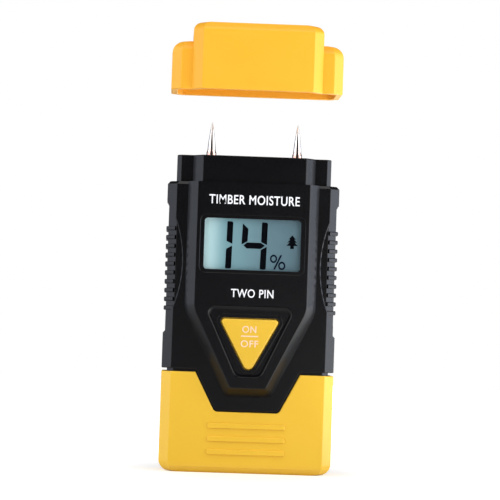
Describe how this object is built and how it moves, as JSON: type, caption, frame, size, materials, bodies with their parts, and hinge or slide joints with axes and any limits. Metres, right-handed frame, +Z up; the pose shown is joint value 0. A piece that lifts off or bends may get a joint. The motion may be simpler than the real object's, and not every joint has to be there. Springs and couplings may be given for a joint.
{
  "type": "moisture meter",
  "caption": "Pocket pin moisture meter: black case with display and one key, yellow battery boot, needle electrodes and a lift-off cap held above them.",
  "frame": {"origin": "on the ground under the middle of the boot", "axes": "+Z up along the meter from the boot to the needles, -Y out of the front with the display, +X to the right seen from behind the front's viewer, that is to the right in front view"},
  "size_m": [0.0574, 0.028, 0.1498],
  "materials": {
    "yellow_shell": "fine moulded grain, softly glossy amber yellow",
    "black_shell": "fine spark-eroded grain, near black",
    "yellow_key": "smooth yellow key cap",
    "clear_lens": "clear polished window",
    "display_glass": "grey-green reflective liquid crystal cell",
    "white_plastic": "white moulded frame",
    "silicone": "dull black rubber",
    "circuit_board": "green solder resist",
    "chip_resin": "dull black moulded resin",
    "ceramic_parts": "tan ceramic with tinned ends",
    "plated_steel": "bright nickel plate",
    "plunger_plastic": "brick red moulded plastic",
    "needle_steel": "polished nickel-plated steel",
    "socket_brass": "turned brass",
    "red_wire": "red wire insulation",
    "black_wire": "black wire insulation",
    "battery_jacket": "plain dark grey printed metal jacket, no lettering",
    "foam": "grey closed-cell foam",
    "screw_steel": "zinc-plated steel",
    "label_film": "blank grey label film"
  },
  "bodies": {
    "boot": {"battery_boot": "yellow_shell", "boot_foam_pad": "foam"},
    "meter": {"front_case": "black_shell", "rear_case": "black_shell", "display_lens": "clear_lens", "lcd_glass": "display_glass", "lcd_frame": "white_plastic", "zebra_strips": "silicone", "main_board": "circuit_board", "control_chip": "chip_resin", "amplifier_chip": "chip_resin", "board_parts": "ceramic_parts", "switch_housing": "chip_resin", "switch_cover": "plated_steel", "electrode_left": "needle_steel", "electrode_right": "needle_steel", "pin_socket_left": "socket_brass", "pin_socket_right": "socket_brass", "pin_lead_left": "red_wire", "pin_lead_right": "red_wire", "battery_9v": "battery_jacket", "battery_terminals": "plated_steel", "snap_connector": "silicone", "snap_contacts": "plated_steel", "red_lead": "red_wire", "black_lead": "black_wire", "case_screws": "screw_steel", "board_screws": "screw_steel", "rear_label": "label_film"},
    "key": {"button_key": "yellow_key"},
    "plunger": {"switch_plunger": "plunger_plastic"},
    "cap": {"protective_cap": "yellow_shell"}
  },
  "joints": [
    {"name": "boot_slide", "type": "slide", "parent": "boot", "child": "meter", "axis": [0, 0, 1], "range_m": [0, 0.034]},
    {"name": "cap_slide", "type": "slide", "parent": "meter", "child": "cap", "axis": [0, 0, 1], "range_m": [-0.0305, 0]},
    {"name": "button_press", "type": "slide", "parent": "meter", "child": "key", "axis": [0, 1, 0], "range_m": [0, 0.0005], "stiffness_N_per_m": 400, "springref_m": -0.001},
    {"name": "plunger_press", "type": "slide", "parent": "meter", "child": "plunger", "axis": [0, 1, 0], "range_m": [0, 0.0005]}
  ],
  "couplings": [
    {"joint": "plunger_press", "follows": "button_press", "ratio": 1}
  ]
}
